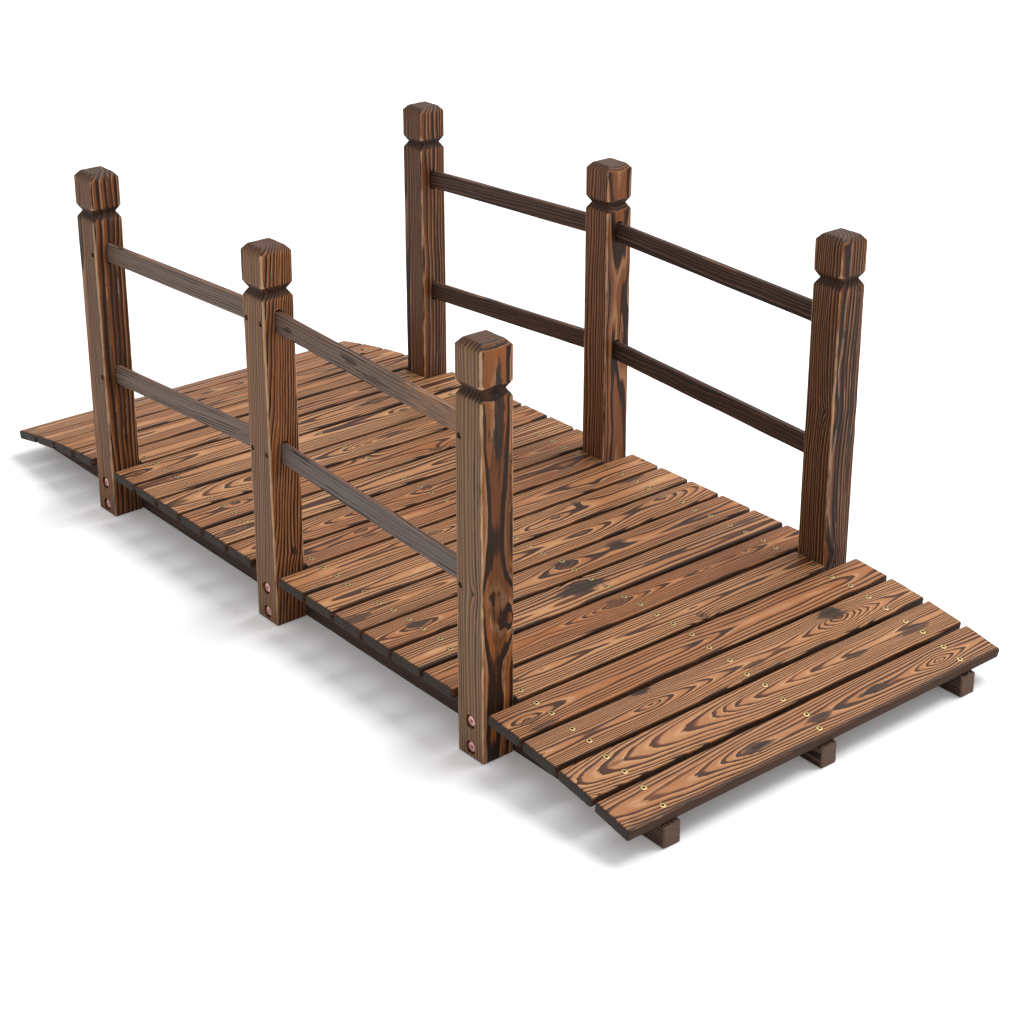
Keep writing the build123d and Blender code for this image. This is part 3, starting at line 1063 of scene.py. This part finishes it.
def make_rail(node, number, rng):
    """A sloping rail, drawn straight and then turned between the middles of its ends."""
    (low, high), upright, thickness = ends_of_bar(node)
    length = np.linalg.norm(high - low)
    fibre = (high - low) / length
    turn = np.array([fibre, [-fibre[2], 0.0, fibre[0]], [0.0, -1.0, 0.0]])
    size = np.array([length - 2 * RAIL_END_GAP, upright * fibre[0], thickness])
    local, faces = rounded_grid(size, RAIL_ROUNDING, RAIL_CELLS)
    material = COOL_SHEEN_RAIL_WOOD if node == COOL_SHEEN_RAIL else RAIL_WOOD
    piece = mesh_piece(node, local @ turn + (low + high) / 2, faces, material)
    below, way = rng.uniform(0.01, 0.03), rng.choice([-1, 1])
    pith = (below, way * rng.uniform(0.02, 0.04), 0.0, 0.0, rng.uniform(-0.03, 0.03))
    describe_wood(
        piece, local, turn, number, pith=pith, ring_width=rng.uniform(0.004, 0.006),
        blots=SMUDGES if node == SMUDGED_RAIL else (),
        end_grain=near_limit(np.abs(local[:, 0]), size[0] / 2, RAIL_END), **rail_looks(node, local, size))
    return finish_piece(piece, node, slot="rail_wood")


rail_nodes = nodes_named("rail")
rails = [make_rail(node, RAIL_LOG + k, rng) for k, node in enumerate(rail_nodes)]
print("rails", len(rails))


# %% [markdown]
# ## Posts
# A post's section shrinks in the V-groove under the cap and again in the cap's slope, so its grid is made square
# and pulled in by a profile up its height. Its arrises are painted paler, partly for scorched skin lost to handling
# and partly as a painted sheen where light catches their rounding, while the groove and the cap's top keep their
# scorched skin, so each point also knows how near it is to an arris and how deep it lies.

# %% Where the posts lay in their logs
# For each post: where its pith lay, as distance beyond the outer side, distance beyond the rear side (both from the
# post's middle), lean and skew (mm in a metre); ring width, tone, scorch and the strength of a grey sheen painted
# on the outer side; then knots and blots as height above the middle, place across, half height, half width and
# strength, on the sides that look along the bridge where the entry ends in "through"
POST_WOOD_PLACES = {
    "post_left_front": dict(pith=(3, -58, 12, 6), ring=4.6, tone=0.42, scorch=0.15, bloom=0.56,
                            knots=[(-86, 20, 34, 14, 12, "through"), (-46, 10, 18, 9, 9)],
                            blots=[(25, 3, 205, 21, 0.58, "through"), (185, 2, 80, 9, 0.95, "through")]),
    "post_left_middle": dict(pith=(48, -34, 8, 45), ring=3.2, tone=0.46, scorch=0.2, bloom=0.42,
                             knots=[(-170, 8, 16, 7, 4, "through")], blots=[(-170, 8, 9, 4, 0.8, "through")]),
    "post_left_rear": dict(pith=(44, -16, 12, -6), ring=4.4, tone=0.78, scorch=0.2, bloom=0.15,
                           blots=[(40, 4, 240, 7, 0.75, "through"), (-60, -12, 180, 4, 0.7, "through")]),
    "post_right_front": dict(pith=(40, -34, 16, 5), ring=3.8, tone=0.95, scorch=0.55, bloom=0.0,
                             knots=[(30, 12, 26, 12, 8), (-185, -4, 26, 12, 9, "through")],
                             blots=[(-185, -4, 18, 8, 0.6, "through"), (-20, -9, 230, 6, 0.85, "through"),
                                    (60, 12, 170, 5, 0.8, "through")]),
    "post_right_middle": dict(pith=(-6, -40, -14, 4), ring=3.5, tone=0.60, scorch=0.15, bloom=0.0,
                              knots=[(2, 8, 90, 14, -9, "through")], blots=[(2, 18, 20, 6, 0.7, "through")]),
    "post_right_rear": dict(pith=(38, -20, 10, -5), ring=3.8, tone=0.84, scorch=0.3, bloom=0.0,
                            blots=[(-60, 6, 170, 5, 0.7, "through")]),
}
print("posts in the table", len(POST_WOOD_PLACES))

# %% Section of a post
GROOVE_BELOW_TOP = 0.0625
GROOVE_DEPTH = 0.0065
GROOVE_HALF_HEIGHT = 0.010
CAP_RUN = 0.0075
CAP_RISE = 0.009


def post_profile(height, top):
    """How far the post's faces stand in, at each height."""
    from_groove = np.abs(height - (top - GROOVE_BELOW_TOP))
    groove = GROOVE_DEPTH * np.clip(1 - from_groove / GROOVE_HALF_HEIGHT, 0, 1)
    return groove + CAP_RUN * np.clip((height - (top - CAP_RISE)) / CAP_RISE, 0, 1)


print("the groove is", round(1000 * float(post_profile(-GROOVE_BELOW_TOP, 0.0)), 1), "mm deep")

# %% Pockets, pits and seats
POCKET_DEPTH = 0.018
POCKET_PLAY = (0.003, 0.0035)
SEAT_RADIUS = 0.00925
SEAT_DEPTH = 0.005
PIT_RADIUS = 0.0040
PIT_DEPTH = 0.0046
RAIL_SCREW_ASIDE = 0.017
BOLT_HEIGHTS = (0.014, 0.051)
rail_ends = [(end, upright, thickness) for node in rail_nodes
             for middles, upright, thickness in [ends_of_bar(node)] for end in middles]


def rails_into(middle, width):
    """Rail ends inside a post, as the way they come from, their middle, upright height and thickness."""
    found = []
    for end, upright, thickness in rail_ends:
        if abs(end[0] - middle[0]) < width / 2 and abs(end[1] - middle[1]) < width / 2:
            way = math.copysign(1.0, end[0] - middle[0])
            found.append((way, end, upright, thickness))
    return found


def post_holes(middle, size, outward):
    """Cutters for a post's pockets, pits and seats, then the places of its rail screws and of its bolts."""
    face = middle[1] + outward[1] * size[2] / 2
    pockets, rail_screws = [], []
    for way, end, upright, thickness in rails_into(middle, size[1]):
        slot = slot_outline(thickness + POCKET_PLAY[0], upright + POCKET_PLAY[1])
        at = (middle[0] + way * size[1] / 2, end[1], end[2])
        pockets.append(aimed(straight_hole(slot, POCKET_DEPTH), at, (way, 0, 0)))
        rail_screws.append((np.array([middle[0] + way * RAIL_SCREW_ASIDE, face, end[2]]), outward))
    bolts = [(np.array([middle[0], face, height]), outward) for height in BOLT_HEIGHTS]
    pit = straight_hole(ring_outline(PIT_RADIUS, 16), PIT_DEPTH)
    seat = straight_hole(ring_outline(SEAT_RADIUS, 32), SEAT_DEPTH)
    pits = [aimed(pit, at, outward) for at, _ in rail_screws]
    return pockets + pits + [aimed(seat, at, outward) for at, _ in bolts], rail_screws, bolts


print("rail ends", len(rail_ends))

# %% How a post wears
BRUSHED_FACE = (0.0022, 0.0006)
CUT_TOP = (CAP_RISE * 0.9, CAP_RISE * 0.45)
UNRUBBED_TOP = 0.002
# Pale arrises: partly wear, partly a painted sheen where light catches their rounding
ARRIS_WEAR_AND_SHEEN = 0.95
ARRIS_WEAR_AND_SHEEN_REACH = 0.0042
RUBBED_RIM = 0.55
RUBBED_RIM_REACH = 0.0016


def post_looks(wood, local, top, width, groove_rim, side):
    """Values of a post's wood at each point: arrises paler from wear and a painted sheen, a paler groove rim, cut
    top, and a painted grey sheen on the outer side.
    """
    height = local[:, 0] + top / 2
    reach = np.maximum(np.abs(local[:, 1]), np.abs(local[:, 2]))
    arris = 2 * width - np.abs(local[:, 1]) - np.abs(local[:, 2])
    rubbed = ARRIS_WEAR_AND_SHEEN * close_to(arris, ARRIS_WEAR_AND_SHEEN_REACH)
    rubbed = rubbed + RUBBED_RIM * close_to(height - groove_rim, RUBBED_RIM_REACH)
    return dict(
        ring_width=wood["ring"] * MM, tone=wood["tone"], scorch=wood["scorch"],
        brushed=np.maximum(near_limit(reach, width, BRUSHED_FACE), height > top - CAP_RISE * 0.98),
        end_grain=near_limit(height, top, CUT_TOP),
        worn=np.clip(rubbed, 0, 1) * (height < top - UNRUBBED_TOP),
        # Painted sheen: a grey cast on the outer side, standing in for the white floor's reflection
        bloom=wood["bloom"] * smooth(local[:, 2] * side, width * 0.9, width * 0.98))


print("arrises rubbed over", 1000 * ARRIS_WEAR_AND_SHEEN_REACH, "mm")

# %% Posts
POST_CELLS = (0.006, 0.0017, 0.0017)
POST_ROUNDING = 0.0025
POST_LOG = 50


def make_post(node, number):
    """A post with its pockets and seats; returns the places of its rail screws and bolts."""
    middle, size, turn = own_frame(node, [(0, 0, 1), (1, 0, 0), (0, 1, 0)])
    top, width = size[0], size[1] / 2
    groove, cap_foot = top - GROOVE_BELOW_TOP, top - CAP_RISE
    groove_rim = groove + GROOVE_HALF_HEIGHT
    edges = [height - top / 2 for height in (groove - GROOVE_HALF_HEIGHT, groove, groove_rim, cap_foot)]
    local, faces = rounded_grid(size, POST_ROUNDING, POST_CELLS, extra=edges)
    local[:, 1:] *= ((width - post_profile(local[:, 0] + top / 2, top)) / width)[:, None]
    piece = mesh_piece(node, local @ turn + middle, faces, POST_WOOD)
    outward = np.array([0.0, math.copysign(1.0, middle[1]), 0.0])
    cutters, rail_screws, bolts = post_holes(middle, size, outward)
    bore(piece, cutters)
    local = (points_of(piece.data) - middle) @ turn.T
    wood = POST_WOOD_PLACES[node]
    behind, beside, lean, skew = [value * MM for value in wood["pith"]]
    describe_wood(
        piece, local, turn, number, pith=(behind, beside, lean, 0.0, skew),
        knots=wood.get("knots", ()), blots=wood.get("blots", ()),
        **post_looks(wood, local, top, width, groove_rim, outward[1]))
    finish_piece(piece, node, slot="post_wood")
    return rail_screws, bolts


rail_screws, foot_bolts = [], []
for k, node in enumerate(nodes_named("post")):
    screws, bolts = make_post(node, POST_LOG + k)
    rail_screws += screws
    foot_bolts += bolts
print("rail screws", len(rail_screws), "bolts", len(foot_bolts))


# %% [markdown]
# ## Screws, bolts, washers and nuts
# One countersunk head with a cross recess is cut once and then copied to every place, each turned by its own
# angle as a driver leaves them. The deck's heads are joined into one mesh, because 138 objects would say
# nothing more than one. The bolts are button heads with a hexagon socket, and their nuts show inside.

# %% Metal
MOTTLES = (900, 900, 900)
SCRATCHES = (2500, 2500, 2500)
SCRATCH_DEPTH = 0.00006


def metal(name, code, dull, dirt_and_shade):
    """Plated steel: duller and darker where the attribute for soiling and painted shade says so, and slightly
    uneven all over.
    """
    made, tree, surface = new_material(name)
    where = stored(tree, "own_place", "Vector")
    mottle = cloud(tree, where, MOTTLES, detail=3.0)
    grime = total(tree, stored(tree, "grime", "Fac"), swing(tree, mottle, 0.3))
    plug_by_name(tree, surface, {
        "Base Color": blend(tree, step(tree, grime, 0.25, 0.85), colour(code), colour(dirt_and_shade)),
        "Roughness": total(tree, dull, times(tree, mottle, 0.25), times(tree, grime, 0.2)),
        "Metallic": step(tree, grime, 0.3, 0.9, 1.0, 0.3),
        "Normal": bumped(tree, cloud(tree, where, SCRATCHES), SCRATCH_DEPTH)})
    return made


BRASS_PLATE = metal("yellow_plate", "A08A60", 0.40, "2E2114")
ZINC_PLATE = metal("rosy_plate", "D9A4A4", 0.28, "241A1C")
NUT_PLATE = metal("nut_plate", "A8A098", 0.35, "241E1A")
print("materials", len(bpy.data.materials))

# %% Heads and their copies
RECESS_CUTTER_OUT = 0.004
IN_RECESS = 0.0002
# The recess is painted dark: partly soiling, partly painted shade inside it
RECESS_DIRT_AND_SHADE = 0.9
RIM_GRIME = 0.05
HEAD_SHARP_ABOVE = math.radians(30)


def cut_head(levels, sides, recess, depth, dish=0.0):
    """Round head with a recess, dished round it: its points, faces, and how much soiling and painted shade each
    point gets.
    """
    blank = mesh_piece("head", *swept(ring_outline(1.0, sides), levels), BRASS_PLATE)
    if dish:
        bore(blank, [swept(ring_outline(dish, 20), [(-0.0006, 0.85), (RECESS_CUTTER_OUT, 1.0)])])
    bore(blank, [swept(recess, [(-depth, 0.55), (RECESS_CUTTER_OUT, 1.25)])])
    places = points_of(blank.data)
    faces = [list(face.vertices) for face in blank.data.polygons]
    face = levels[-1][0]
    # Points in the recess get soiling and painted shade
    grime = np.where(places[:, 2] < face - IN_RECESS, RECESS_DIRT_AND_SHADE, 0.0)
    rim = max(radius for _, radius in levels) * 0.8
    grime[np.hypot(places[:, 0], places[:, 1]) > rim] = RIM_GRIME
    mesh = blank.data
    bpy.data.objects.remove(blank)
    bpy.data.meshes.remove(mesh)
    return places, faces, grime


def copies(name, head, places, sunk, rng, material, slot):
    """One mesh with a copy of the head at every place, sunk below the wood's face and turned at random."""
    points, faces, grime = head
    parts_list = []
    for at, outward in places:
        angle = rng.uniform(0, math.pi)
        cosine, sine = math.cos(angle), math.sin(angle)
        spin = np.array([[cosine, sine, 0], [-sine, cosine, 0], [0, 0, 1]])
        parts_list.append(aimed((points @ spin, faces), at - np.array(outward) * sunk, outward))
    piece = mesh_piece(name, *join_parts(parts_list), material)
    piece.data.set_sharp_from_angle(angle=HEAD_SHARP_ABOVE)
    store(piece.data, "grime", np.tile(grime, len(places)))
    store(piece.data, "own_place", np.concatenate([p for p, _ in parts_list]))
    return finish_piece(piece, slot=slot, relief=False)


print("edges of a head stay sharp above", round(math.degrees(HEAD_SHARP_ABOVE)), "degrees")

# %% Screws
# A head is given by levels, each a height and a radius in metres
CROSS_REACH = 0.0019
SMALL_CROSS_REACH = 0.0015
CROSS_HALF_WIDTH = 0.0005
SCREW_LEVELS = [(-0.0030, 0.0012), (-0.0004, 0.0042), (-0.0001, 0.0043), (0.0, 0.0041)]
SMALL_SCREW_LEVELS = [(-0.0016, 0.0010), (-0.0003, 0.0027), (0.0, 0.0025)]
screw_head = cut_head(SCREW_LEVELS, 24, cross_outline(CROSS_REACH, CROSS_HALF_WIDTH), 0.0018, dish=0.0023)
copies("deck_screws", screw_head, deck_screws, 0.0001, rng, BRASS_PLATE, "screw_steel")
small_head = cut_head(SMALL_SCREW_LEVELS, 20, cross_outline(SMALL_CROSS_REACH, CROSS_HALF_WIDTH), 0.001)
copies("rail_screws", small_head, rail_screws, PIT_DEPTH - 0.0018, rng, BRASS_PLATE, "screw_steel")
print("screws", len(deck_screws) + len(rail_screws), "points in a head", len(screw_head[0]))

# %% Bolts, and their nuts and washers inside
BOLT_LEVELS = [(0.0, 0.0074), (0.0006, 0.0078), (0.0016, 0.0076), (0.0026, 0.0066), (0.0032, 0.0050)]
WASHER_LEVELS = [(0.0, 0.0082), (0.0014, 0.0082), (0.0016, 0.0080)]
NUT_LEVELS = [(0.0016, 0.0070), (0.0022, 0.0075), (0.0074, 0.0075), (0.0080, 0.0070)]
SHANK_LEVELS = [(0.0078, 0.0039), (0.0102, 0.0039), (0.0108, 0.0033)]
SOCKET_RADIUS = 0.0030
NUT_GRIME = 0.25
bolt_head = cut_head(BOLT_LEVELS, 36, ring_outline(SOCKET_RADIUS, 6), 0.001)
copies("foot_bolts", bolt_head, foot_bolts, SEAT_DEPTH, rng, ZINC_PLATE, "bolt_steel")
left, right = [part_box(f"stringer_{side}") for side in ("left", "right")]
inner_faces = {-1: left[1][1], 1: right[0][1]}
nut_seats = [(np.array([at[0], inner_faces[outward[1]], at[2]]), -outward) for at, outward in foot_bolts]
nut_shapes = ((32, WASHER_LEVELS), (6, NUT_LEVELS), (20, SHANK_LEVELS))
nut = join_parts([swept(ring_outline(1.0, sides), levels) for sides, levels in nut_shapes])
copies("nuts_and_washers", (*nut, np.full(len(nut[0]), NUT_GRIME)), nut_seats, 0.0, rng, NUT_PLATE, "bolt_steel")
print("bolts", len(foot_bolts), "nuts", len(nut_seats))


# %% [markdown]
# ## Floor and light
# A pale floor takes the soft shadow. It must read as plain white away from the bridge, so for the camera and for
# reflections it adds a little white of its own. One wide soft box hangs high behind the far railing, and an even
# sky fills in the rest, which is why the shadow is faint and falls towards the viewer's left.

# %% Floor
FLOOR_HALF = 30.0
FLOOR_WHITE = 0.93
FLOOR_LIFT = 0.12
WHITE = (1, 1, 1, 1)


def seen_directly(tree):
    """1 for rays from the camera, a reflection or a view through glass, 0 for light that falls on things."""
    rays = tree.nodes.new("ShaderNodeLightPath").outputs
    return total(tree, rays["Is Camera Ray"], rays["Is Glossy Ray"], rays["Is Transmission Ray"])


corners = [(x * FLOOR_HALF, y * FLOOR_HALF, 0) for x, y in ((-1, -1), (1, -1), (1, 1), (-1, 1))]
paint, floor_tree, floor_surface = new_material("floor_paint")
direct = maths(floor_tree, "MINIMUM", seen_directly(floor_tree), 1.0)
plug_by_name(floor_tree, floor_surface, {
    "Base Color": (FLOOR_WHITE, FLOOR_WHITE, FLOOR_WHITE, 1), "Roughness": 1.0, "Specular IOR Level": 0.0,
    "Emission Color": WHITE, "Emission Strength": times(floor_tree, direct, FLOOR_LIFT)})
mesh_piece("floor", corners, [(0, 1, 2, 3)], paint)
print("floor", 2 * FLOOR_HALF, "m wide")

# %% Lamps and sky
SKY_STRENGTH = 0.70
SOFT_BOX_AT = (0.7, 2.6, 5.0)
SOFT_BOX_LOOKS_AT = (0, 0, 0.2)
SOFT_BOX_WIDTH = 3.6
SOFT_BOX_WATTS = 330


def soft_lamp(name, place, aim, width, power):
    """Square soft box that looks at a point."""
    lamp = bpy.data.lights.new(name, "AREA")
    lamp.shape, lamp.size, lamp.energy = "SQUARE", width, power
    holder = bpy.data.objects.new(name, lamp)
    look = (Vector(aim) - Vector(place)).to_track_quat("-Z", "Y").to_matrix().to_4x4()
    holder.matrix_world = Matrix.Translation(place) @ look
    bpy.context.scene.collection.objects.link(holder)


soft_lamp("soft_box", SOFT_BOX_AT, SOFT_BOX_LOOKS_AT, SOFT_BOX_WIDTH, SOFT_BOX_WATTS)
world = bpy.data.worlds.new("studio")
bpy.context.scene.world = world
world.use_nodes = True
sky = world.node_tree
plug_by_name(sky, sky.nodes["Background"].inputs, {
    "Color": WHITE, "Strength": step(sky, seen_directly(sky), 0.0, 1.0, SKY_STRENGTH, 1.0)})
print("lamps", [lamp.name for lamp in bpy.data.lights])


# %% [markdown]
# ## The end

# %% Finish
print("meshes", len(bpy.data.meshes), "materials", len(bpy.data.materials))
